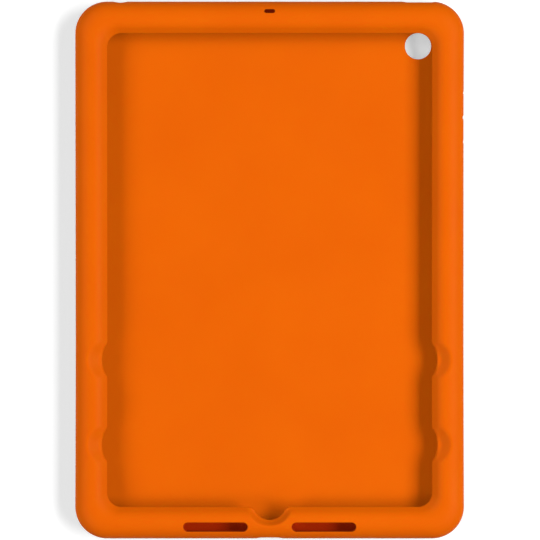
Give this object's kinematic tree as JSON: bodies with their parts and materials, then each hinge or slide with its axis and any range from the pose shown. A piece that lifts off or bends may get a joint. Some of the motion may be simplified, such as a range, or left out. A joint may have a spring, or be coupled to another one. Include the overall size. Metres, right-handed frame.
{
  "type": "silicone tablet case",
  "caption": "Moulded silicone bumper case for a 10-inch tablet: a rounded frame with finger scoops, sound slots and port openings round a shallow pocket.",
  "frame": {"origin": "middle of the case's footprint, on the plane that its back rim rests on", "axes": "+Z out of the front window, +Y towards the top edge, +X to the right as seen from the front"},
  "size_m": [0.192, 0.265, 0.016],
  "materials": {
    "silicone": "soft matt moulded silicone, orange"
  },
  "bodies": {
    "root": {"silicone_case": "silicone"}
  },
  "joints": []
}
